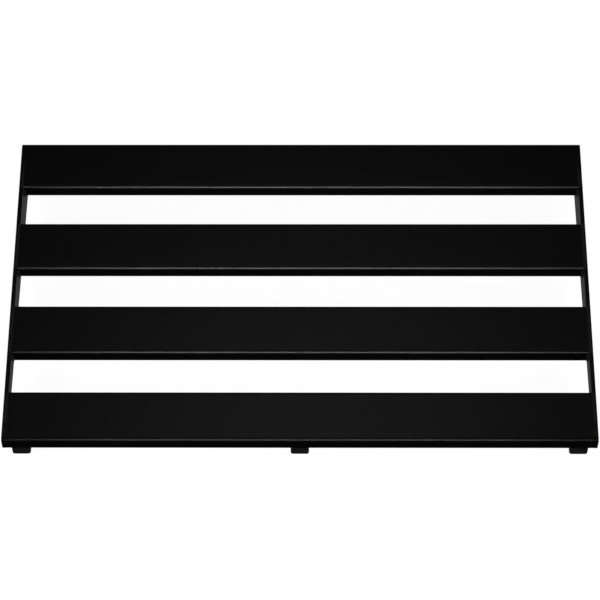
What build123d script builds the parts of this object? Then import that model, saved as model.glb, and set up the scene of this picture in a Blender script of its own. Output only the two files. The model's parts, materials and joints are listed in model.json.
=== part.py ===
from build123d import *
import os
from math import cos, radians, sin, tan

# Wedge-shaped pedalboard: four hollow aluminium rails welded between two flat side plates,
# standing on five rubber feet. Millimetres. X runs along the rails, +Y to the back, +Z up.
# "Deck" places use the sloping top face: x across, u up the slope from the front edge,
# n square to it, upwards.

# Driving dimensions
width = 610.0
deck_depth = 368.0
deck_slope = 4.7
foot_height = 13.0
rail_width = 58.0
rail_height = 17.5
rail_wall = 2.0
rail_names = ["front_rail", "lower_middle_rail", "upper_middle_rail", "rear_rail"]
top_edge_radius = 4.0
lower_edge_radius = 3.0
plate_thickness = 4.5
plate_rear_radius = 10.0
weld_leg = 1.8
weld_margin = 0.6

# Foot tabs, which carry the two rear feet
tab_width = 27.0
tab_depth = 26.0
tab_thickness = 4.0
tab_rear_gap = 5.0
tab_corner_radius = 5.0
tab_weld_leg = 2.0

# Moulded rubber foot
foot_size = 19.0
foot_corner_radius = 2.5
foot_front_gap = 0.5
foot_inset = 18.5
foot_flange = 3.6
foot_groove = 0.9
foot_groove_depth = 0.7
foot_chamfer = 1.0
foot_web = 5.5
foot_recess_depth = 1.0

# M4 fixings
screw_radius = 1.95
screw_length = 16.0
screw_tip_chamfer = 0.5
head_radius = 3.9
head_height = 2.5
head_edge_radius = 1.2
socket_across_flats = 2.5
socket_depth = 1.5
washer_radius = 4.5
washer_thickness = 0.8
nut_bore_radius = 2.0
nut_across_flats = 7.0
nut_height = 3.6
nut_collar_radius = 2.9
nut_total_height = 5.0
nut_chamfer = 0.4
rivet_body_radius = 3.0
rivet_flange_radius = 4.5
rivet_flange_thickness = 0.8
rivet_bulge_radius = 4.2
rivet_bulge_height = 2.5
rivet_bulge_chamfer = 1.0
rivet_length = 10.0
fit_gap = 0.05
hole_gap = 0.25

# Derived dimensions
slope = radians(deck_slope)
rail_length = width - 2 * plate_thickness
rail_pitch = (deck_depth - rail_width) / (len(rail_names) - 1)
plate_inner_x = width / 2 - plate_thickness
front_height = foot_height + rail_height * cos(slope)
rear_plate_depth = rail_height + deck_depth * tan(slope)
foot_x = width / 2 - foot_inset
foot_u = foot_front_gap + foot_size / 2
clearance_radius = screw_radius + hole_gap
recess_radius = washer_radius + hole_gap
far = 2 * width

deck_plane = Plane(origin=(0, 0, front_height), x_dir=(1, 0, 0), z_dir=(0, -sin(slope), cos(slope)))
deck = deck_plane.location
tab_rear_y = (deck * Pos(0, deck_depth, -rear_plate_depth)).position.Y - tab_rear_gap
tab_y = tab_rear_y - tab_depth / 2
tab_x = plate_inner_x - tab_width / 2
end_sections = Plane(origin=(0, 0, 0), x_dir=(0, 1, 0), z_dir=(1, 0, 0))


def rounded_box_section(size_u, size_n, top_radius, bottom_radius):
    """Box outline in (u, n) with its top edge on n = 0 and its front edge on u = 0."""
    outline = Pos(size_u / 2, -size_n / 2) * Rectangle(size_u, size_n)
    rows = outline.vertices().group_by(Axis.Y)
    outline = fillet(rows[-1], radius=top_radius)
    return fillet(outline.vertices().group_by(Axis.Y)[0], radius=bottom_radius)


def rail_outline(grow=0.0):
    """Outer outline of a rail, grown outwards by a weld leg or inwards by a wall."""
    return Pos(-grow, grow) * rounded_box_section(
        rail_width + 2 * grow,
        rail_height + 2 * grow,
        top_edge_radius + grow,
        lower_edge_radius + grow,
    )


def plate_outline(inset=0.0):
    """Side plate outline in (u, n): top edge along the deck, bottom edge level with the floor."""
    front_corner = (0, -rail_height)
    rear_corner = (deck_depth, -rear_plate_depth)
    outline = make_face(Polyline((0, 0), front_corner, rear_corner, (deck_depth, 0), close=True))
    corners = outline.vertices().sort_by_distance((deck_depth, -rear_plate_depth))
    outline = fillet(corners[0], radius=plate_rear_radius)
    outline = fillet(outline.vertices().group_by(Axis.Y)[-1], radius=top_edge_radius)
    front_bottom = outline.vertices().sort_by_distance(front_corner)[0]
    outline = fillet(front_bottom, radius=lower_edge_radius)
    if inset:
        outline = offset(outline, amount=-inset)
    return outline


def along_x(section, x_start, length):
    """Extrudes a (u, n) outline along +X from x_start."""
    return extrude(Pos(x_start, 0, 0) * (end_sections * section), amount=length, dir=(1, 0, 0))


def rail(index):
    """One hollow rail, with rivet nut holes under it on the front rail only."""
    tube = rail_outline() - rail_outline(-rail_wall)
    body = along_x(tube, -rail_length / 2, rail_length)
    if index == 0:
        drill = Cylinder(rivet_body_radius + fit_gap, 3 * rail_wall)
        for x in front_foot_places():
            body -= Pos(x, foot_u, -rail_height) * drill
    return Pos(0, index * rail_pitch, 0) * body


def side_plate(side):
    """Flat plate that closes the rail ends on one side (-1 left, +1 right)."""
    return along_x(plate_outline(), min(side * width / 2, side * plate_inner_x), plate_thickness)


def fillet_collar(outline_grown, outline, leg, side):
    """Weld bead of triangular section round an outline, on a side plate's inner face."""
    wide = Pos(side * plate_inner_x, 0, 0) * (end_sections * outline_grown)
    narrow = Pos(side * (plate_inner_x - leg), 0, 0) * (end_sections * outline)
    cone = loft([wide.face(), narrow.face()])
    core = along_x(outline, min(side * plate_inner_x, side * (plate_inner_x - leg)), leg)
    return cone - core


def rail_welds(side):
    """Four beads under and beside the rail ends, kept inside the plate's edges."""
    inner_edge = min(side * plate_inner_x, side * (plate_inner_x - weld_leg))
    allowed = along_x(plate_outline(weld_margin), inner_edge, weld_leg)
    allowed -= Pos(0, 0, -top_edge_radius + far / 2) * Box(far, far, far)
    collar = fillet_collar(rail_outline(weld_leg), rail_outline(), weld_leg, side)
    beads = []
    for index in range(len(rail_names)):
        bead = (Pos(0, index * rail_pitch, 0) * collar) & allowed
        beads += bead.solids()
    return beads


def foot_tab(side):
    """Small level plate on the side plate's inner face, flush with its bottom edge."""
    plan = Rectangle(tab_width, tab_depth)
    inner_corners = plan.vertices().group_by(Axis.X)[0 if side > 0 else -1]
    plan = fillet(inner_corners, radius=tab_corner_radius)
    plan -= Pos(side * (foot_x - tab_x), 0) * Circle(clearance_radius)
    return Pos(side * tab_x, tab_y, foot_height) * extrude(plan, amount=tab_thickness)


def tab_weld(side):
    """Bead over the top and round both ends of a foot tab, where it meets the side plate."""
    centre = Pos(tab_y, foot_height + tab_thickness / 2)
    outline = centre * Rectangle(tab_depth, tab_thickness)
    grown = centre * Rectangle(tab_depth + 2 * tab_weld_leg, tab_thickness + 2 * tab_weld_leg)
    collar = fillet_collar(grown, outline, tab_weld_leg, side)
    return collar - Pos(0, 0, foot_height - far / 2) * Box(far, far, far)


def front_foot_places():
    """X of the three feet under the front rail."""
    return [-foot_x, 0.0, foot_x]


def foot_locations():
    """Where each foot's top face sits: square to the deck in front, level at the back."""
    under_rail = [deck * Pos(x, foot_u, -rail_height) for x in front_foot_places()]
    under_tabs = [Pos(side * foot_x, tab_y, foot_height) for side in (-1, 1)]
    names = ["front_left", "front_middle", "front_right", "rear_left", "rear_right"]
    return dict(zip(names, under_rail + under_tabs))


def foot(place):
    """Square rubber foot with a moulded groove, its underside cut level with the floor."""
    plan = RectangleRounded(foot_size, foot_size, foot_corner_radius)
    body = extrude(plan, amount=-2 * foot_height)
    ring = plan - RectangleRounded(
        foot_size - 2 * foot_groove_depth,
        foot_size - 2 * foot_groove_depth,
        foot_corner_radius - foot_groove_depth,
    )
    body -= Pos(0, 0, -foot_flange) * extrude(ring, amount=-foot_groove)
    body -= Pos(0, 0, -foot_height / 2) * Cylinder(clearance_radius, 2 * foot_height)
    body -= Pos(0, 0, -foot_web - foot_height) * Cylinder(recess_radius, 2 * foot_height)
    body -= Cylinder(recess_radius, 2 * foot_recess_depth)
    body = place * body
    body -= Pos(0, 0, -far / 2) * Box(far, far, far)
    underside = body.faces().sort_by(Axis.Z)[0]
    return chamfer(underside.outer_wire().edges(), length=foot_chamfer)


def washer():
    """Steel washer on the shelf inside a foot."""
    ring = Circle(washer_radius) - Circle(screw_radius + 2 * fit_gap)
    return Pos(0, 0, -foot_web - washer_thickness) * extrude(ring, amount=washer_thickness)


def screw():
    """M4 button-head socket screw, pointing up from below a foot."""
    under_head = -foot_web - washer_thickness
    head = Pos(0, 0, under_head - head_height / 2) * Cylinder(head_radius, head_height)
    head = fillet(head.edges().group_by(Axis.Z)[0], radius=head_edge_radius)
    socket = RegularPolygon(socket_across_flats / 2, 6, major_radius=False)
    head -= Pos(0, 0, under_head - head_height) * extrude(socket, amount=socket_depth)
    shank = Pos(0, 0, under_head + screw_length / 2) * Cylinder(screw_radius, screw_length)
    shank = chamfer(shank.edges().group_by(Axis.Z)[-1], length=screw_tip_chamfer)
    return head + shank


def rivet_nut():
    """Blind rivet nut set in a rail's bottom wall: flange below, crimped bulge above."""
    flange = Pos(0, 0, -rivet_flange_thickness / 2)
    body = flange * Cylinder(rivet_flange_radius, rivet_flange_thickness)
    body += Pos(0, 0, rivet_length / 2) * Cylinder(rivet_body_radius, rivet_length)
    bulge = Cylinder(rivet_bulge_radius, rivet_bulge_height)
    bulge = chamfer(bulge.edges().group_by(Axis.Z)[-1], length=rivet_bulge_chamfer)
    body += Pos(0, 0, rail_wall + rivet_bulge_height / 2) * bulge
    return body - Pos(0, 0, rivet_length / 2) * Cylinder(nut_bore_radius, 2 * rivet_length)


def lock_nut():
    """M4 lock nut on top of a foot tab, with a round collar round its plastic ring."""
    hexagon = RegularPolygon(nut_across_flats / 2, 6, major_radius=False)
    body = extrude(hexagon, amount=nut_height)
    body = chamfer(body.edges().group_by(Axis.Z)[0], length=nut_chamfer)
    body += Pos(0, 0, nut_total_height / 2) * Cylinder(nut_collar_radius, nut_total_height)
    body -= Pos(0, 0, nut_total_height / 2) * Cylinder(nut_bore_radius, 2 * nut_total_height)
    return Pos(0, 0, tab_thickness) * body


def build_nodes():
    """Every node by name, still with the front edge of the deck at Y = 0."""
    nodes = {}
    for index, name in enumerate(rail_names):
        nodes[name] = [deck * rail(index)]
    for name, side in (("left", -1), ("right", 1)):
        nodes[f"side_plate_{name}"] = [deck * side_plate(side)]
        nodes[f"rail_welds_{name}"] = [deck * bead for bead in rail_welds(side)]
        nodes[f"foot_tab_{name}"] = [foot_tab(side)]
        nodes[f"tab_weld_{name}"] = [tab_weld(side)]
    places = foot_locations()
    for name, place in places.items():
        nodes[f"foot_{name}"] = [foot(place)]
    front = [place for name, place in places.items() if name.startswith("front")]
    rear = [place for name, place in places.items() if name.startswith("rear")]
    nodes["foot_screws"] = [place * screw() for place in front + rear]
    nodes["foot_washers"] = [place * washer() for place in front + rear]
    nodes["rivet_nuts"] = [place * rivet_nut() for place in front]
    nodes["lock_nuts"] = [place * lock_nut() for place in rear]
    return nodes


def export_nodes(nodes):
    """Moves the origin to the middle of the footprint and writes one file per node."""
    os.makedirs("parts", exist_ok=True)
    box = Compound(children=[Compound(solids) for solids in nodes.values()]).bounding_box()
    to_origin = Pos(-box.center().X, -box.center().Y, -box.min.Z)
    for name, solids in nodes.items():
        moved = [to_origin * solid for solid in solids]
        export_step(moved[0] if len(moved) == 1 else Compound(moved), f"parts/{name}.step")


export_nodes(build_nodes())
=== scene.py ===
import json
from math import atan2, cos, hypot, pi, radians, sin, sqrt, tan

import bmesh
import bpy
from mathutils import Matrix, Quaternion, Vector


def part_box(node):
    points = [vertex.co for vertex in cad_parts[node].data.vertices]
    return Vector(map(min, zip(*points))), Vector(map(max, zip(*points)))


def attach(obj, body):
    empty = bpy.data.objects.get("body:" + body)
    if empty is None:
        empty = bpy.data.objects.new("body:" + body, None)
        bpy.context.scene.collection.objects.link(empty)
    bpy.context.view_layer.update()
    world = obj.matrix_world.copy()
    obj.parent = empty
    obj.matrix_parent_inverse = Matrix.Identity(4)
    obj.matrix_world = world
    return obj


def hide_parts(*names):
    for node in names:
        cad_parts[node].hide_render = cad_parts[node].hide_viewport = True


# The looks of a black powder-coated pedalboard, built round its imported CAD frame. Metres.
# X runs along the rails, +Y to the back, +Z up. "Deck" places use the sloping top face:
# u up the slope from the front edge of a rail, n square to it, upwards.

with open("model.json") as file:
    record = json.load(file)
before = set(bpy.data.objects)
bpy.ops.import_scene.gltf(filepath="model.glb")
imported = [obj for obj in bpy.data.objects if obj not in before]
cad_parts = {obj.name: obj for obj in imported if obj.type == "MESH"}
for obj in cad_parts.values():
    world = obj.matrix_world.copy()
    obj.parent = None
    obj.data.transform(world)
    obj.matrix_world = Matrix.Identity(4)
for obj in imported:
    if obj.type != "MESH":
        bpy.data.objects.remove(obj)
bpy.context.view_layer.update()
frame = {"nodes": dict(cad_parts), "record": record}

MM = 0.001
TOUCH = 0.001 * MM
MERGE_DISTANCE = 0.0001 * MM

# Sections of the frame's parts, as in the CAD
RAIL_NAMES = ["front_rail", "lower_middle_rail", "upper_middle_rail", "rear_rail"]
GAP_COUNT = len(RAIL_NAMES) - 1
RAIL_WIDTH = 58 * MM
RAIL_HEIGHT = 17.5 * MM
RAIL_WALL = 2 * MM
TOP_EDGE_RADIUS = 4 * MM
LOWER_EDGE_RADIUS = 3 * MM
PLATE_REAR_RADIUS = 10 * MM
WELD_LEG = 1.8 * MM
TAB_WELD_LEG = 2 * MM
ARC_STEPS = 14

# Soft edges that paint and tumbling leave on cut metal
PLATE_OUTER_BEVEL = 0.6 * MM
PLATE_INNER_BEVEL = 0.45 * MM
BEVEL_RUN_OUT = 0.6 * TOP_EDGE_RADIUS
TAB_CORNER_RADIUS = 5 * MM
TAB_BEVEL = 0.4 * MM
BEVEL_STEPS = 4

# Edges that turn by more than this many degrees are shaded sharp
SHARP_ANGLE = 35
BEAD_SHARP_ANGLE = 60

# Moulded rubber foot, from its top face down
FOOT_HALF = 9.5 * MM
FOOT_CORNER_RADIUS = 2.5 * MM
FOOT_TOP_EDGE = 0.35 * MM
FOOT_TOP_STEPS = 4
FOOT_FLANGE = 3.6 * MM
FOOT_GROOVE = 0.9 * MM
FOOT_GROOVE_DEPTH = 0.7 * MM
FOOT_GROOVE_LIP = 0.2 * MM
FOOT_EDGE_RADIUS = 1.6 * MM
FOOT_EDGE_STEPS = 5
FOOT_SHELF = 5.5 * MM
FOOT_CUP_RADIUS = 4.75 * MM
FOOT_CUP_EDGE = 0.3 * MM
FOOT_HOLE_RADIUS = 2.2 * MM
FOOT_NUT_RECESS = 1 * MM

# Tread ring moulded into a foot's underside: how far in from the rounded edge, and how deep
FOOT_TREAD = [(0.8 * MM, 0), (1.0 * MM, 0.5 * MM), (1.7 * MM, 0.5 * MM), (1.9 * MM, 0)]
FOOT_TREAD_CORNER = 0.6 * MM

# M4 fixings
SCREW_RADIUS = 1.95 * MM
SCREW_LENGTH = 16 * MM
SCREW_SEGMENTS = 36
HEAD_RADIUS = 3.9 * MM
HEAD_HEIGHT = 2.5 * MM
HEAD_RIM = 0.4 * MM
HEAD_RIM_BEVEL = 0.12 * MM
HEAD_UNDERSIDE = HEAD_RADIUS - 0.15 * MM
DOME_STEPS = 8
DOME_TOP_RADIUS = 1.79 * MM
SOCKET_HALF_FLATS = 1.2528 * MM
SOCKET_MOUTH = 1.06
SOCKET_MOUTH_BEVEL = 0.1 * MM
SOCKET_DEPTH = 1.5 * MM
SOCKET_CONE = 0.3 * MM
THREAD_PITCH = 0.7 * MM
THREAD_DEPTH = 0.3 * MM
THREAD_ROOT_SHARE = 0.4
THREAD_CREST_SHARE = 0.08
PLAIN_SHANK_TURNS = 3
WASHER_RADIUS = 4.5 * MM
WASHER_THICKNESS = 0.8 * MM
WASHER_HOLE_RADIUS = SCREW_RADIUS + 0.1 * MM
WASHER_BEVEL = 0.15 * MM
WASHER_SEGMENTS = 40
NUT_HALF_FLATS = 3.5 * MM
NUT_CHAMFER_RADIUS = 1.03 * NUT_HALF_FLATS
NUT_CHAMFER = 0.35 * MM
NUT_HEIGHT = 3.6 * MM
NUT_TOTAL_HEIGHT = 5 * MM
NUT_COLLAR_RADIUS = 2.9 * MM
NUT_BORE_RADIUS = 2 * MM
NUT_SEGMENTS = 48

# Materials: each pair of colours is blended in clouds or patches
COAT_COLOURS = [(0.0008, 0.0008, 0.0009), (0.0013, 0.0013, 0.0014)]
RUBBER_COLOURS = [(0.0045, 0.0045, 0.0043), (0.0095, 0.0093, 0.0088)]
ZINC_COLOURS = [(0.50, 0.53, 0.58), (0.62, 0.60, 0.53)]
COAT_ROUGHNESS = (0.32, 0.40)
RUBBER_ROUGHNESS = (0.62, 0.8)
ZINC_ROUGHNESS = (0.24, 0.4)
COAT_SPECULAR = 0.42
RUBBER_SPECULAR = 0.35
COAT_WAVE_HEIGHT = 0.04 * MM
COAT_PEEL_HEIGHT = 0.035 * MM
RUBBER_PIT_DEPTH = 0.03 * MM
ZINC_SCRATCH_DEPTH = 0.008 * MM

# Camera: seen from in front and above, through a long lens
CAMERA_ELEVATION = radians(54.14)
CAMERA_AZIMUTH = radians(0.571)
CAMERA_ROLL = radians(-0.4365)
CAMERA_DISTANCE = 2.7
CAMERA_LENS = 153.8
CAMERA_AIM_X = -0.26 * MM
CAMERA_AIM_U = 167.8 * MM
CAMERA_REACH = 50
SENSOR_WIDTH = 36

# Studio: each softbox's place and aim from the middle of the deck, its size, power in watts
# and spread in degrees
SOFTBOXES = [
    ("front_box", (0, -0.75, 0.45), (0, 0.12, 0.01), (0.6, 0.18), 0.3, 36),
    ("overhead_box", (0, 0.7, 2.4), (0, 0, 0), (0.5, 0.5), 1.2, 180),
    ("left_box", (-2.4, -0.7, 1.0), (0, 0, 0), (1.2, 1.0), 8, 180),
    ("right_box", (2.4, -0.7, 1.0), (0, 0, 0), (1.2, 1.0), 8, 180),
]

# Sky glow, and the parts of the unit sky direction between which each glow fades in or out
WORLD_COLOUR = (1, 0.985, 0.95, 1)
WORLD_DIM = 0.004
WORLD_SIDES = 0.3
WORLD_BEHIND = 0.15
WORLD_LOW_REAR = 0.16
SIDES_FADE = (0.4, 0.8)
BEHIND_FADE = (0.85, 0.98)
REAR_HALF_FADE = (0.0, 0.5)
HORIZON_FADE = (-0.35, 0.0)

# Plain floor
FLOOR_RADIUS = 12
FLOOR_COLOUR = (0.4, 0.4, 0.4, 1)
FLOOR_GLOW = 0.94


# ---------------------------------------------------------------- places from the frame

deck_axis = next(m["axis"] for m in frame["record"]["mounts"] if m["name"] == "deck_surface")
slope = atan2(-deck_axis[1], deck_axis[2])


def rail_corner(name):
    """Y and Z of the sharp front top corner (u = 0, n = 0) of a rail, from its rounded box."""
    low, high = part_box(name)
    r = TOP_EDGE_RADIUS
    y = low.y - r * (cos(slope) + sin(slope) - 1)
    z = high.z - (RAIL_WIDTH - r) * sin(slope) + r * cos(slope) - r
    return y, z


def deck_point(x, u, n, corner):
    """A place in the row frame, from deck measures taken from a rail's corner."""
    y0, z0 = corner
    return Vector((x, y0 + u * cos(slope) - n * sin(slope), z0 + u * sin(slope) + n * cos(slope)))


CORNERS = [rail_corner(name) for name in RAIL_NAMES]
DECK_CORNER = CORNERS[0]
RAIL_PITCH = (CORNERS[-1][0] - CORNERS[0][0]) / cos(slope) / GAP_COUNT
DECK_DEPTH = GAP_COUNT * RAIL_PITCH + RAIL_WIDTH


# ---------------------------------------------------------------- outlines

def rounded_polygon(points, radii, steps=ARC_STEPS):
    """Closed outline through corner points, each corner an arc of its own radius."""
    outline = []
    count = len(points)
    for i, (point, radius) in enumerate(zip(points, radii)):
        if radius <= 0:
            outline.append(point)
            continue
        corner = Vector(point)
        before = (Vector(points[i - 1]) - corner).normalized()
        after = (Vector(points[(i + 1) % count]) - corner).normalized()
        half = before.angle(after) / 2
        centre = corner + (before + after).normalized() * radius / sin(half)
        start = corner + before * radius / tan(half) - centre
        end = corner + after * radius / tan(half) - centre
        first = atan2(start.y, start.x)
        turn = (atan2(end.y, end.x) - first + pi) % (2 * pi) - pi
        for k in range(steps + 1):
            a = first + turn * k / steps
            outline.append((centre.x + radius * cos(a), centre.y + radius * sin(a)))
    return outline


def outline_normals(outline):
    """Unit normal at each point of a closed outline, pointing out of it if it runs clockwise."""
    normals = []
    for i in range(len(outline)):
        a = Vector(outline[i - 1])
        b = Vector(outline[(i + 1) % len(outline)])
        run = (b - a).normalized()
        normals.append(Vector((-run.y, run.x)))
    return normals


def rail_outline(inset=0.0):
    """Rail section in (u, n), clockwise from the front lower corner."""
    u0, u1 = inset, RAIL_WIDTH - inset
    n0, n1 = -RAIL_HEIGHT + inset, -inset
    top = max(TOP_EDGE_RADIUS - inset, 0.0)
    low = max(LOWER_EDGE_RADIUS - inset, 0.0)
    return rounded_polygon([(u0, n0), (u0, n1), (u1, n1), (u1, n0)], [low, top, top, low])


# ---------------------------------------------------------------- mesh helpers

def new_piece(name, bm, node, material, sharp_angle=SHARP_ANGLE):
    """Turns a bmesh into a piece that stands for a CAD node, smooth but for its sharp edges."""
    bmesh.ops.recalc_face_normals(bm, faces=bm.faces)
    limit = radians(sharp_angle)
    for face in bm.faces:
        face.smooth = True
    for edge in bm.edges:
        if len(edge.link_faces) == 2 and edge.calc_face_angle() > limit:
            edge.smooth = False
    mesh = bpy.data.meshes.new(name)
    bm.to_mesh(mesh)
    bm.free()
    piece = bpy.data.objects.new(name, mesh)
    bpy.context.scene.collection.objects.link(piece)
    shade = piece.modifiers.new("face_weighted_normals", "WEIGHTED_NORMAL")
    shade.keep_sharp = True
    mesh.materials.append(material)
    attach(piece, "root")
    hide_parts(node)


def bridge(bm, loop_a, loop_b):
    """A band of faces between two closed loops of the same length."""
    count = len(loop_a)
    for i in range(count):
        j = (i + 1) % count
        corners = (loop_a[i], loop_a[j], loop_b[j], loop_b[i])
        if len(set(corners)) > 2:
            bm.faces.new([v for k, v in enumerate(corners) if v not in corners[:k]])


def bridge_round(bm, loops):
    """Bands between neighbouring loops, and from the last loop back to the first."""
    for a, b in zip(loops, loops[1:] + loops[:1]):
        bridge(bm, a, b)


def bridge_capped(bm, loops):
    """Bands between neighbouring loops, with a flat face across the first loop and the last."""
    for a, b in zip(loops, loops[1:]):
        bridge(bm, a, b)
    bm.faces.new(loops[0])
    bm.faces.new(loops[-1])


# ---------------------------------------------------------------- rails and plates

def build_rail(index, material):
    """A hollow rail: outer and inner skins with smooth corner arcs, open at both ends."""
    name = RAIL_NAMES[index]
    low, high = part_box(name)
    outer, inner = rail_outline(), rail_outline(RAIL_WALL)
    bm = bmesh.new()
    loops = []
    for x, outline in ((low.x, inner), (low.x, outer), (high.x, outer), (high.x, inner)):
        loops.append([bm.verts.new(deck_point(x, u, n, CORNERS[index])) for u, n in outline])
    bridge_round(bm, loops)
    new_piece(f"{name}_extrusion", bm, name, material)


def plate_outline():
    """Side plate in (u, n), clockwise, with points where each rail meets its top edge."""
    rear_n = -RAIL_HEIGHT - DECK_DEPTH * tan(slope)
    corners = [(0, -RAIL_HEIGHT), (0, 0), (DECK_DEPTH, 0), (DECK_DEPTH, rear_n)]
    radii = [LOWER_EDGE_RADIUS, TOP_EDGE_RADIUS, TOP_EDGE_RADIUS, PLATE_REAR_RADIUS]
    outline = rounded_polygon(corners, radii)
    split = 2 * (ARC_STEPS + 1)
    gaps = []
    for i in range(GAP_COUNT):
        start = i * RAIL_PITCH + RAIL_WIDTH
        end = (i + 1) * RAIL_PITCH
        gaps += [(start - BEVEL_RUN_OUT, 0), (start, 0), (end, 0), (end + BEVEL_RUN_OUT, 0)]
    return outline[:split] + gaps + outline[split:]


def inner_bevel_at(u, n):
    """Bevel of the inner edge: none where a rail is ground flush with the plate's top."""
    if n < -TOP_EDGE_RADIUS:
        return PLATE_INNER_BEVEL
    into_rail = u % RAIL_PITCH
    in_gap = into_rail >= RAIL_WIDTH - TOUCH
    at_next_rail = into_rail < TOUCH < u < DECK_DEPTH - TOUCH
    return PLATE_INNER_BEVEL if in_gap or at_next_rail else 0.0


def build_side_plate(name, side, material):
    """A flat wedge-shaped plate with softened edges, seamless where the rails run into it."""
    low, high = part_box(name)
    outer_x, inner_x = (high.x, low.x) if side > 0 else (low.x, high.x)
    outline = plate_outline()
    normals = outline_normals(outline)
    bm = bmesh.new()
    loops = []
    steps = range(BEVEL_STEPS + 1)
    for is_inner in (False, True):
        face_x = inner_x if is_inner else outer_x
        inward = side if is_inner else -side
        for k in reversed(steps) if is_inner else steps:
            turn = k / BEVEL_STEPS * pi / 2
            loop = []
            for (u, n), normal in zip(outline, normals):
                b = inner_bevel_at(u, n) if is_inner else PLATE_OUTER_BEVEL
                back = b * (1 - sin(turn))
                place = Vector((u, n)) - normal * back
                x = face_x + inward * b * (1 - cos(turn))
                loop.append(bm.verts.new(deck_point(x, place.x, place.y, DECK_CORNER)))
            loops.append(loop)
    bridge_capped(bm, loops)
    bmesh.ops.remove_doubles(bm, verts=bm.verts, dist=MERGE_DISTANCE)
    new_piece(f"{name}_sheet", bm, name, material)


def build_tab(name, side, material):
    """A small level plate with two rounded inner corners and softened edges."""
    low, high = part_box(name)
    square = [(low.x, low.y), (low.x, high.y), (high.x, high.y), (high.x, low.y)]
    radii = [TAB_CORNER_RADIUS, TAB_CORNER_RADIUS, 0, 0]
    outline = rounded_polygon(square, radii if side > 0 else radii[::-1])
    normals = outline_normals(outline)
    bm = bmesh.new()
    loops = []
    steps = range(BEVEL_STEPS + 1)
    for level, towards in ((low.z, 1), (high.z, -1)):
        for k in steps if towards > 0 else reversed(steps):
            turn = k / BEVEL_STEPS * pi / 2
            back = TAB_BEVEL * (1 - sin(turn))
            z = level + towards * TAB_BEVEL * (1 - cos(turn))
            loop = []
            for (x, y), normal in zip(outline, normals):
                loop.append(bm.verts.new((x - normal.x * back, y - normal.y * back, z)))
            loops.append(loop)
    bridge_capped(bm, loops)
    new_piece(f"{name}_plate", bm, name, material)


# ---------------------------------------------------------------- weld beads

WELD_STEP = 0.16 * MM
WELD_SECTION_STEPS = 8
WELD_END = 2.0 * MM
WELD_BULGE = 0.4

# Ripples: one crescent for each pool of metal, bowed back in the middle and never quite even
RIPPLE_LENGTH = 1.3 * MM
RIPPLE_HEIGHT = 0.09
RIPPLE_MEAN = 0.7
RIPPLE_BOW = 0.55
RIPPLE_JITTER = 0.08
RIPPLE_JITTER_LENGTH = 3.7 * MM

# Wander of a bead's size: (share of its leg, length of the wave, phase from the bead's seed)
BEAD_WANDER = [(0.04, 5.1 * MM, 1), (0.03, 2.3 * MM, 2)]
RAIL_BEAD_SEED = 1.7
TAB_BEAD_SEED = 4.2

# The front rail's bead stops where the plate below the rail is too narrow for it
WELD_EDGE_CLEARANCE = 0.6 * MM
TAB_WELD_CORNER = 0.5 * MM


def resample(path, step):
    """Points evenly spaced along an open path, with the direction of travel at each."""
    lengths = [0.0]
    for a, b in zip(path, path[1:]):
        lengths.append(lengths[-1] + hypot(b[0] - a[0], b[1] - a[1]))
    total = lengths[-1]
    count = max(2, round(total / step))
    points = []
    j = 0
    for i in range(count + 1):
        s = total * i / count
        while j < len(lengths) - 2 and lengths[j + 1] < s:
            j += 1
        t = (s - lengths[j]) / (lengths[j + 1] - lengths[j])
        a, b = path[j], path[j + 1]
        run = Vector((b[0] - a[0], b[1] - a[1])).normalized()
        points.append((s, a[0] + t * (b[0] - a[0]), a[1] + t * (b[1] - a[1]), run))
    return points, total


def add_bead(bm, path, leg, plate_x, inward, place, seed):
    """A rippled fillet weld along a path on a plate's inner face; place maps (x, a, b)."""
    points, total = resample(path, WELD_STEP)
    rings = []
    for s, a, b, run in points:
        out = Vector((-run.y, run.x))
        end = min(s, total - s) / WELD_END
        taper = sqrt(max(0.0, 1 - (1 - min(end, 1.0)) ** 2))
        wander = sum(share * sin(s / length + phase * seed) for share, length, phase in BEAD_WANDER)
        jitter = RIPPLE_JITTER * sin(s / RIPPLE_JITTER_LENGTH + seed)
        ring = []
        for k in range(WELD_SECTION_STEPS + 1):
            turn = pi / 2 * k / WELD_SECTION_STEPS
            flat = 1 / (cos(turn) + sin(turn))
            crescent = RIPPLE_BOW * sin(2 * turn)
            pool = (s / RIPPLE_LENGTH + crescent + jitter) % 1.0
            ripple = RIPPLE_HEIGHT * (sqrt(1 - (2 * pool - 1) ** 2) - RIPPLE_MEAN)
            reach = (flat + (1 - flat) * WELD_BULGE) * (1 + wander)
            reach *= 1 + ripple * sin(2 * turn)
            r = leg * taper * min(reach, 1.0)
            x = plate_x + inward * r * sin(turn)
            ring.append(bm.verts.new(place(x, a + out.x * r * cos(turn), b + out.y * r * cos(turn))))
        ring.append(bm.verts.new(place(plate_x, a, b)))
        rings.append(ring)
    bridge_capped(bm, rings)


def rail_weld_path(index):
    """Where the bead runs round one rail's end, in that rail's (u, n): front, under, back."""
    outline = rail_outline()
    front_low = outline[:ARC_STEPS + 1]
    rear_low = outline[3 * (ARC_STEPS + 1):]
    if index == 0:
        start = [((WELD_LEG + WELD_EDGE_CLEARANCE) / tan(slope), -RAIL_HEIGHT)]
    else:
        start = [(0, -TOP_EDGE_RADIUS)] + front_low[::-1]
    if index == len(RAIL_NAMES) - 1:
        finish = [(RAIL_WIDTH - LOWER_EDGE_RADIUS - WELD_LEG, -RAIL_HEIGHT)]
    else:
        finish = rear_low[::-1] + [(RAIL_WIDTH, -TOP_EDGE_RADIUS)]
    return start + finish


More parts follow.
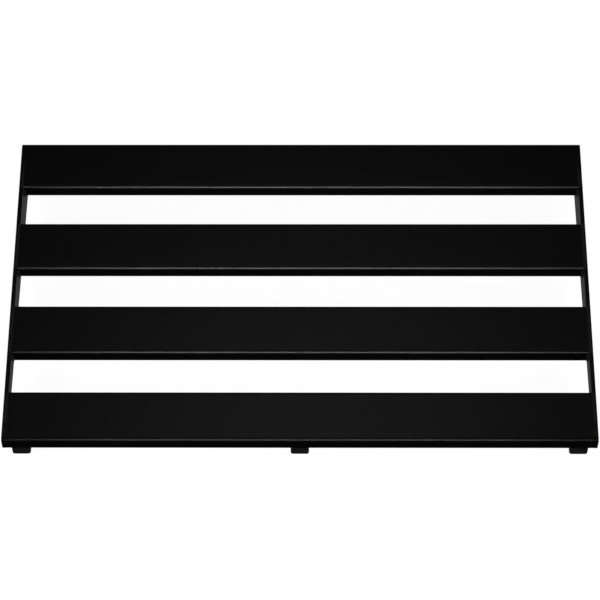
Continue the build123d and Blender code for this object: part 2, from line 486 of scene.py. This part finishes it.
def build_rail_welds(name, side, material):
    """The four beads that join the rail ends to one side plate."""
    plate_low, plate_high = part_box(f"side_plate_{name}")
    plate_x = plate_low.x if side > 0 else plate_high.x
    bm = bmesh.new()
    for index, corner in enumerate(CORNERS):
        path = rail_weld_path(index)[::-1]

        def place(x, u, n, corner=corner):
            return deck_point(x, u, n, corner)

        add_bead(bm, path, WELD_LEG, plate_x, -side, place, seed=RAIL_BEAD_SEED * index + side)
    bmesh.ops.remove_doubles(bm, verts=bm.verts, dist=MERGE_DISTANCE)
    node = f"rail_welds_{name}"
    new_piece(f"{node}_beads", bm, node, material, sharp_angle=BEAD_SHARP_ANGLE)


def build_tab_weld(name, side, material):
    """The bead over the top and both ends of a rear foot tab."""
    plate_low, plate_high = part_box(f"side_plate_{name}")
    plate_x = plate_low.x if side > 0 else plate_high.x
    low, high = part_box(f"foot_tab_{name}")
    corners = [(low.y, low.z), (low.y, high.z), (high.y, high.z), (high.y, low.z)]
    path = rounded_polygon(corners, [0, TAB_WELD_CORNER, TAB_WELD_CORNER, 0])
    bm = bmesh.new()

    def place(x, y, z):
        return Vector((x, y, z))

    add_bead(bm, path, TAB_WELD_LEG, plate_x, -side, place, seed=TAB_BEAD_SEED + side)
    bmesh.ops.remove_doubles(bm, verts=bm.verts, dist=MERGE_DISTANCE)
    node = f"tab_weld_{name}"
    new_piece(f"{node}_bead", bm, node, material, sharp_angle=BEAD_SHARP_ANGLE)


# ---------------------------------------------------------------- feet

def rounded_square(half, radius, corner_steps=6, side_steps=10):
    """Square outline with rounded corners, centred on the origin, with points along its sides too."""
    corners = [(-half, -half), (-half, half), (half, half), (half, -half)]
    rounded = rounded_polygon(corners, [radius] * 4, corner_steps)
    outline = []
    for i, (x, y) in enumerate(rounded):
        outline.append((x, y))
        if i % (corner_steps + 1) == corner_steps:
            next_x, next_y = rounded[(i + 1) % len(rounded)]
            for k in range(1, side_steps):
                t = k / side_steps
                outline.append((x + t * (next_x - x), y + t * (next_y - y)))
    return outline


def circle_like(outline, radius):
    """A circle with one point for each point of an outline, at the same bearing."""
    return [(radius * x / hypot(x, y), radius * y / hypot(x, y)) for x, y in outline]


def foot_levels():
    """Outer loops of a foot from the top down: (inset of the square, depth below the top)."""
    levels = []
    for k in range(FOOT_TOP_STEPS + 1):
        turn = k / FOOT_TOP_STEPS * pi / 2
        levels.append((FOOT_TOP_EDGE * (1 - sin(turn)), FOOT_TOP_EDGE * (1 - cos(turn))))
    half = FOOT_GROOVE / 2
    lip = FOOT_GROOVE_LIP
    # Half of the groove, as (inset, distance from its middle); the other half mirrors it
    upper = [(0, half + lip), (0.5 * lip, half), (FOOT_GROOVE_DEPTH - 0.3 * lip, half - 0.6 * lip)]
    middle = FOOT_FLANGE + half
    levels += [(inset, middle - away) for inset, away in upper]
    levels.append((FOOT_GROOVE_DEPTH, middle))
    levels += [(inset, middle + away) for inset, away in reversed(upper)]
    return levels


def foot_frame(node, tilted):
    """Two functions of a foot: place(x, y, depth below its top face), and the floor's depth at y.

    A front foot's axis is square to the sloping rail above it, and a rear foot's is upright.
    """
    low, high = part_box(node)
    tilt = slope if tilted else 0.0
    centre_x = (low.x + high.x) / 2
    if tilted:
        top_y = low.y + FOOT_HALF * cos(tilt)
        top_z = high.z - FOOT_HALF * sin(tilt)
    else:
        top_y = (low.y + high.y) / 2
        top_z = high.z

    def place(x, y, depth):
        return Vector((
            centre_x + x,
            top_y + y * cos(tilt) + depth * sin(tilt),
            top_z + y * sin(tilt) - depth * cos(tilt),
        ))

    def floor_depth(y):
        return (top_z + y * sin(tilt)) / cos(tilt)

    return place, floor_depth


def build_foot(name, material):
    """A square rubber foot with a moulded groove, a tread ring and a cup for its screw."""
    node = f"foot_{name}"
    place, floor_depth = foot_frame(node, tilted=name.startswith("front"))
    square = rounded_square(FOOT_HALF, FOOT_CORNER_RADIUS)
    cup = circle_like(square, FOOT_CUP_RADIUS)
    cup_mouth = circle_like(square, FOOT_CUP_RADIUS + FOOT_CUP_EDGE)
    hole = circle_like(square, FOOT_HOLE_RADIUS)
    bm = bmesh.new()
    loops = []

    def inset_square(amount):
        return rounded_square(FOOT_HALF - amount, max(FOOT_CORNER_RADIUS - amount, FOOT_TREAD_CORNER))

    def level_ring(points, depth):
        loops.append([bm.verts.new(place(x, y, depth)) for x, y in points])

    def floor_ring(points, rise):
        loops.append([bm.verts.new(place(x, y, floor_depth(y) - rise)) for x, y in points])

    # Outside, from the mouth of the nut's recess in the top face down to the tread and the cup
    level_ring(cup, 0)
    for inset, depth in foot_levels():
        level_ring(inset_square(inset), depth)
    for k in range(FOOT_EDGE_STEPS + 1):
        turn = k / FOOT_EDGE_STEPS * pi / 2
        floor_ring(inset_square(FOOT_EDGE_RADIUS * (1 - cos(turn))), FOOT_EDGE_RADIUS * (1 - sin(turn)))
    for inset, rise in FOOT_TREAD:
        floor_ring(inset_square(FOOT_EDGE_RADIUS + inset), rise)
    floor_ring(cup_mouth, 0)
    # Inside, back up through the cup, the screw hole and the recess for the nut's flange
    floor_ring(cup, FOOT_CUP_EDGE)
    level_ring(cup, FOOT_SHELF)
    level_ring(hole, FOOT_SHELF)
    level_ring(hole, FOOT_NUT_RECESS)
    level_ring(cup, FOOT_NUT_RECESS)
    bridge_round(bm, loops)
    new_piece(f"{node}_rubber", bm, node, material)
    return place


# ---------------------------------------------------------------- fixings

def full_turn(segments):
    """Evenly spaced directions round a circle."""
    return [2 * pi * k / segments for k in range(segments)]


def lathe(bm, profile, place, segments):
    """Revolves a (radius, depth) profile about a foot's axis; a radius of 0 is a point on the axis."""
    loops = []
    for radius, depth in profile:
        if radius <= 0:
            loops.append([bm.verts.new(place(0, 0, depth))] * segments)
            continue
        loops.append([
            bm.verts.new(place(radius * cos(t), radius * sin(t), depth)) for t in full_turn(segments)
        ])
    for a, b in zip(loops, loops[1:]):
        bridge(bm, a, b)
    return loops


def hexagon_radius(turn, half_flats):
    """Distance from a hexagon's middle to its side, in a given direction."""
    sixth = pi / 3
    return half_flats / cos((turn + sixth / 2) % sixth - sixth / 2)


def screw_profile():
    """Outline of an M4 button-head screw from its tip to the rim of its socket."""
    under_head = FOOT_SHELF + WASHER_THICKNESS
    tip = under_head - SCREW_LENGTH
    root_radius = SCREW_RADIUS - THREAD_DEPTH
    profile = [(0, tip), (root_radius, tip)]
    for k in range(int(SCREW_LENGTH / THREAD_PITCH) - PLAIN_SHANK_TURNS):
        crest = tip + (k + 0.5) * THREAD_PITCH
        profile.append((root_radius, crest - THREAD_ROOT_SHARE * THREAD_PITCH))
        profile.append((SCREW_RADIUS, crest - THREAD_CREST_SHARE * THREAD_PITCH))
        profile.append((SCREW_RADIUS, crest + THREAD_CREST_SHARE * THREAD_PITCH))
    profile += [(SCREW_RADIUS, under_head), (HEAD_UNDERSIDE, under_head)]
    profile += [(HEAD_RADIUS, under_head + HEAD_RIM_BEVEL), (HEAD_RADIUS, under_head + HEAD_RIM)]
    for k in range(1, DOME_STEPS + 1):
        turn = k / DOME_STEPS * pi / 2
        radius = DOME_TOP_RADIUS + (HEAD_RADIUS - DOME_TOP_RADIUS) * cos(turn)
        profile.append((radius, under_head + HEAD_RIM + (HEAD_HEIGHT - HEAD_RIM) * sin(turn)))
    return profile


def add_socket(bm, rim_loop, place, face_depth):
    """Hexagon socket sunk into a screw head, from the last ring of its dome."""
    previous = rim_loop
    floor = face_depth - SOCKET_DEPTH
    levels = [(SOCKET_MOUTH, face_depth), (1.0, face_depth - SOCKET_MOUTH_BEVEL), (1.0, floor)]
    for widening, depth in levels:
        loop = []
        for t in full_turn(len(rim_loop)):
            r = hexagon_radius(t, SOCKET_HALF_FLATS) * widening
            loop.append(bm.verts.new(place(r * cos(t), r * sin(t), depth)))
        bridge(bm, previous, loop)
        previous = loop
    middle = bm.verts.new(place(0, 0, floor - SOCKET_CONE))
    bridge(bm, previous, [middle] * len(rim_loop))


def build_screws(places, material):
    """The five screws, head down in the feet."""
    bm = bmesh.new()
    for place in places:
        loops = lathe(bm, screw_profile(), place, SCREW_SEGMENTS)
        add_socket(bm, loops[-1], place, FOOT_SHELF + WASHER_THICKNESS + HEAD_HEIGHT)
    new_piece("foot_screws_threaded", bm, "foot_screws", material)


def build_washers(places, material):
    """The five washers, with tumbled edges."""
    bm = bmesh.new()
    soft = WASHER_BEVEL
    top, low = FOOT_SHELF, FOOT_SHELF + WASHER_THICKNESS
    inner, outer = WASHER_HOLE_RADIUS, WASHER_RADIUS
    section = [
        (inner, top + soft), (inner + soft, top), (outer - soft, top), (outer, top + soft),
        (outer, low - soft), (outer - soft, low), (inner + soft, low), (inner, low - soft),
        (inner, top + soft),
    ]
    for place in places:
        lathe(bm, section, place, WASHER_SEGMENTS)
    bmesh.ops.remove_doubles(bm, verts=bm.verts, dist=MERGE_DISTANCE)
    new_piece("foot_washers_tumbled", bm, "foot_washers", material)


def nut_hexagon(turn):
    """Radius of a lock nut's full hexagon, in a given direction."""
    return hexagon_radius(turn, NUT_HALF_FLATS)


def nut_trimmed(turn):
    """Radius of the hexagon where its corners are chamfered off."""
    return min(nut_hexagon(turn), NUT_CHAMFER_RADIUS)


def round_ring(radius):
    """Radius function of a ring that is the same in every direction."""
    return lambda turn: radius


# Rings of a lock nut as (radius in a direction, height above the tab), round its whole section
NUT_RINGS = [
    (round_ring(NUT_BORE_RADIUS), 0),
    (nut_trimmed, 0),
    (nut_hexagon, NUT_CHAMFER),
    (nut_hexagon, NUT_HEIGHT - NUT_CHAMFER),
    (nut_trimmed, NUT_HEIGHT),
    (round_ring(NUT_COLLAR_RADIUS + 0.15 * MM), NUT_HEIGHT + 0.05 * MM),
    (round_ring(NUT_COLLAR_RADIUS), NUT_HEIGHT + 0.3 * MM),
    (round_ring(NUT_COLLAR_RADIUS), NUT_TOTAL_HEIGHT - 0.4 * MM),
    (round_ring(NUT_COLLAR_RADIUS - 0.12 * MM), NUT_TOTAL_HEIGHT - 0.1 * MM),
    (round_ring(NUT_COLLAR_RADIUS - 0.4 * MM), NUT_TOTAL_HEIGHT),
    (round_ring(NUT_COLLAR_RADIUS - 0.5 * MM), NUT_TOTAL_HEIGHT - 0.25 * MM),
    (round_ring(NUT_BORE_RADIUS), NUT_TOTAL_HEIGHT - 0.3 * MM),
]


def build_lock_nuts(places, material):
    """Hexagon nuts with chamfered corners, a crimped collar and a recessed locking ring."""
    bm = bmesh.new()
    tab_low, tab_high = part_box("foot_tab_left")
    tab_thickness = tab_high.z - tab_low.z
    for place in places:
        loops = []
        for radius_at, height in NUT_RINGS:
            loop = []
            for t in full_turn(NUT_SEGMENTS):
                r = radius_at(t)
                loop.append(bm.verts.new(place(r * cos(t), r * sin(t), -tab_thickness - height)))
            loops.append(loop)
        bridge_round(bm, loops)
    new_piece("lock_nuts_crimped", bm, "lock_nuts", material)


# ---------------------------------------------------------------- materials

def new_material(name):
    """An empty node material with its shader and object coordinates."""
    material = bpy.data.materials.new(name)
    material.use_nodes = True
    nodes = material.node_tree.nodes
    shader = nodes["Principled BSDF"]
    place = nodes.new("ShaderNodeTexCoord")
    return material, nodes, material.node_tree.links, shader, place.outputs["Object"]


def noise(nodes, links, coords, scale, detail, roughness=0.5):
    """A noise texture in object space; scale is in features per metre."""
    texture = nodes.new("ShaderNodeTexNoise")
    texture.inputs["Scale"].default_value = scale
    texture.inputs["Detail"].default_value = detail
    texture.inputs["Roughness"].default_value = roughness
    links.new(coords, texture.inputs["Vector"])
    return texture.outputs["Fac"]


def spread(nodes, links, value, low, high, clip=(0.3, 0.7)):
    """Maps a texture's middle range onto low to high."""
    node = nodes.new("ShaderNodeMapRange")
    node.inputs["From Min"].default_value = clip[0]
    node.inputs["From Max"].default_value = clip[1]
    node.inputs["To Min"].default_value = low
    node.inputs["To Max"].default_value = high
    links.new(value, node.inputs["Value"])
    return node.outputs["Result"]


def mix_colour(nodes, links, factor, colours):
    """Blends a pair of colours by a texture."""
    node = nodes.new("ShaderNodeMix")
    node.data_type = "RGBA"
    node.inputs["A"].default_value = (*colours[0], 1)
    node.inputs["B"].default_value = (*colours[1], 1)
    links.new(factor, node.inputs["Factor"])
    return node.outputs["Result"]


def bump(nodes, links, height, distance, normal=None):
    """Bump of a given depth in metres, stacked on an earlier one."""
    node = nodes.new("ShaderNodeBump")
    node.inputs["Strength"].default_value = 1.0
    node.inputs["Distance"].default_value = distance
    links.new(height, node.inputs["Height"])
    if normal:
        links.new(normal, node.inputs["Normal"])
    return node.outputs["Normal"]


def powder_coat():
    """Satin black powder coat: orange-peel surface on long low waves, and faint cloudiness."""
    material, nodes, links, shader, coords = new_material("black_powder_coat")
    clouds = noise(nodes, links, coords, scale=14, detail=4)
    grain = noise(nodes, links, coords, scale=900, detail=2)
    peel = noise(nodes, links, coords, scale=620, detail=3, roughness=0.55)
    waves = noise(nodes, links, coords, scale=95, detail=2)
    tone = spread(nodes, links, clouds, 0, 1)
    colour = mix_colour(nodes, links, tone, COAT_COLOURS)
    links.new(colour, shader.inputs["Base Color"])
    rough = spread(nodes, links, grain, *COAT_ROUGHNESS)
    links.new(rough, shader.inputs["Roughness"])
    shader.inputs["IOR"].default_value = 1.5
    shader.inputs["Specular IOR Level"].default_value = COAT_SPECULAR
    normal = bump(nodes, links, waves, COAT_WAVE_HEIGHT)
    normal = bump(nodes, links, peel, COAT_PEEL_HEIGHT, normal)
    links.new(normal, shader.inputs["Normal"])
    return material


def moulded_rubber():
    """Black moulded rubber: dull, finely pitted, with a pale bloom in patches."""
    material, nodes, links, shader, coords = new_material("moulded_black_rubber")
    bloom = noise(nodes, links, coords, scale=160, detail=5, roughness=0.6)
    pits = noise(nodes, links, coords, scale=2600, detail=2)
    tone = spread(nodes, links, bloom, 0, 1, clip=(0.35, 0.7))
    colour = mix_colour(nodes, links, tone, RUBBER_COLOURS)
    links.new(colour, shader.inputs["Base Color"])
    rough = spread(nodes, links, bloom, *RUBBER_ROUGHNESS)
    links.new(rough, shader.inputs["Roughness"])
    shader.inputs["Specular IOR Level"].default_value = RUBBER_SPECULAR
    normal = bump(nodes, links, pits, RUBBER_PIT_DEPTH)
    links.new(normal, shader.inputs["Normal"])
    return material


def zinc_steel():
    """Bright zinc-plated steel with a faint yellow and blue passivation."""
    material, nodes, links, shader, coords = new_material("zinc_plated_steel")
    patches = noise(nodes, links, coords, scale=420, detail=3)
    scratches = noise(nodes, links, coords, scale=3800, detail=2)
    tone = spread(nodes, links, patches, 0, 1)
    colour = mix_colour(nodes, links, tone, ZINC_COLOURS)
    links.new(colour, shader.inputs["Base Color"])
    shader.inputs["Metallic"].default_value = 1.0
    rough = spread(nodes, links, scratches, *ZINC_ROUGHNESS)
    links.new(rough, shader.inputs["Roughness"])
    normal = bump(nodes, links, scratches, ZINC_SCRATCH_DEPTH)
    links.new(normal, shader.inputs["Normal"])
    return material


# ---------------------------------------------------------------- stage, light and camera

def floor_material():
    """Plain pale studio floor that stays bright under the board."""
    material = bpy.data.materials.new("pale_floor")
    material.use_nodes = True
    shader = material.node_tree.nodes["Principled BSDF"]
    shader.inputs["Base Color"].default_value = FLOOR_COLOUR
    shader.inputs["Roughness"].default_value = 0.9
    shader.inputs["Specular IOR Level"].default_value = 0.0
    shader.inputs["Emission Color"].default_value = (1, 1, 1, 1)
    shader.inputs["Emission Strength"].default_value = FLOOR_GLOW
    return material


def build_floor():
    """A wide disc under the feet, kept out of the board's reflections."""
    bm = bmesh.new()
    bmesh.ops.create_circle(bm, cap_ends=True, segments=96, radius=FLOOR_RADIUS)
    mesh = bpy.data.meshes.new("floor")
    bm.to_mesh(mesh)
    bm.free()
    floor = bpy.data.objects.new("floor", mesh)
    bpy.context.scene.collection.objects.link(floor)
    mesh.materials.append(floor_material())
    floor.visible_glossy = False


def softbox(name, place, aim, size, power, spread_angle):
    """A rectangular area light at a place, facing an aim point, with a grid that limits its spread."""
    light = bpy.data.lights.new(name, "AREA")
    light.shape = "RECTANGLE"
    light.size, light.size_y = size
    light.energy = power
    light.spread = radians(spread_angle)
    lamp = bpy.data.objects.new(name, light)
    bpy.context.scene.collection.objects.link(lamp)
    lamp.location = place
    direction = Vector(aim) - Vector(place)
    lamp.rotation_euler = direction.to_track_quat("-Z", "Y").to_euler()
    lamp.visible_camera = False


def sky_ramp(nodes, links, value, fade, low, high):
    """A smooth step from low to high as one part of the sky direction goes through a fade."""
    node = nodes.new("ShaderNodeMapRange")
    node.interpolation_type = "SMOOTHSTEP"
    node.inputs["From Min"].default_value = fade[0]
    node.inputs["From Max"].default_value = fade[1]
    node.inputs["To Min"].default_value = low
    node.inputs["To Max"].default_value = high
    links.new(value, node.inputs["Value"])
    return node.outputs["Result"]


def sky_math(nodes, links, operation, first, second):
    """Combines two sky values by a maths operation; the second may be a plain number."""
    node = nodes.new("ShaderNodeMath")
    node.operation = operation
    links.new(first, node.inputs[0])
    if isinstance(second, float):
        node.inputs[1].default_value = second
    else:
        links.new(second, node.inputs[1])
    return node.outputs["Value"]


def studio_world():
    """A dim room, paler to both sides, behind the board, and low down behind it."""
    world = bpy.data.worlds.new("studio")
    bpy.context.scene.world = world
    world.use_nodes = True
    nodes, links = world.node_tree.nodes, world.node_tree.links
    background = nodes["Background"]
    place = nodes.new("ShaderNodeTexCoord")
    split = nodes.new("ShaderNodeSeparateXYZ")
    links.new(place.outputs["Generated"], split.inputs["Vector"])
    x, y, z = (split.outputs[axis] for axis in "XYZ")
    across = nodes.new("ShaderNodeMath")
    across.operation = "ABSOLUTE"
    links.new(x, across.inputs[0])
    sides = sky_ramp(nodes, links, across.outputs["Value"], SIDES_FADE, 0.0, WORLD_SIDES)
    behind = sky_ramp(nodes, links, y, BEHIND_FADE, 0.0, WORLD_BEHIND)
    low_rear = sky_math(
        nodes, links, "MULTIPLY",
        sky_ramp(nodes, links, y, REAR_HALF_FADE, 0.0, WORLD_LOW_REAR),
        sky_ramp(nodes, links, z, HORIZON_FADE, 1.0, 0.0),
    )
    glow = sky_math(nodes, links, "MAXIMUM", sides, behind)
    glow = sky_math(nodes, links, "MAXIMUM", glow, low_rear)
    glow = sky_math(nodes, links, "ADD", glow, WORLD_DIM)
    links.new(glow, background.inputs["Strength"])
    background.inputs["Color"].default_value = WORLD_COLOUR


def light_scene(middle):
    """Soft studio light: a low box in front, a faint one overhead and one to each side."""
    for name, offset, aim, size, power, spread_angle in SOFTBOXES:
        softbox(name, middle + Vector(offset), middle + Vector(aim), size, power, spread_angle)
    studio_world()


def add_camera():
    """A long-lens camera above the front, aimed near the middle of the deck."""
    data = bpy.data.cameras.new("camera")
    data.lens = CAMERA_LENS
    data.sensor_width = SENSOR_WIDTH
    data.clip_end = CAMERA_REACH
    camera = bpy.data.objects.new("camera", data)
    bpy.context.scene.collection.objects.link(camera)
    aim = deck_point(CAMERA_AIM_X, CAMERA_AIM_U, 0, DECK_CORNER)
    flat = cos(CAMERA_ELEVATION)
    back = Vector((sin(CAMERA_AZIMUTH) * flat, -cos(CAMERA_AZIMUTH) * flat, sin(CAMERA_ELEVATION)))
    camera.location = aim + back * CAMERA_DISTANCE
    facing = (-back).to_track_quat("-Z", "Y") @ Quaternion((0, 0, 1), CAMERA_ROLL)
    camera.rotation_euler = facing.to_euler()
    bpy.context.scene.camera = camera


def build_object():
    """Every visible piece, each standing for its CAD node."""
    coat, rubber, steel = powder_coat(), moulded_rubber(), zinc_steel()
    for index in range(len(RAIL_NAMES)):
        build_rail(index, coat)
    for name, side in (("left", -1), ("right", 1)):
        build_side_plate(f"side_plate_{name}", side, coat)
        build_rail_welds(name, side, coat)
        build_tab(f"foot_tab_{name}", side, coat)
        build_tab_weld(name, side, coat)
    feet = {}
    for name in ("front_left", "front_middle", "front_right", "rear_left", "rear_right"):
        feet[name] = build_foot(name, rubber)
    places = list(feet.values())
    build_screws(places, steel)
    build_washers(places, steel)
    build_lock_nuts([feet["rear_left"], feet["rear_right"]], steel)
    rivet_nuts = frame["nodes"]["rivet_nuts"]
    rivet_nuts.data.materials.clear()
    rivet_nuts.data.materials.append(steel)


add_camera()
build_object()
build_floor()
light_scene(deck_point(0, DECK_DEPTH / 2, 0, DECK_CORNER))
bpy.context.scene.view_settings.view_transform = "Standard"
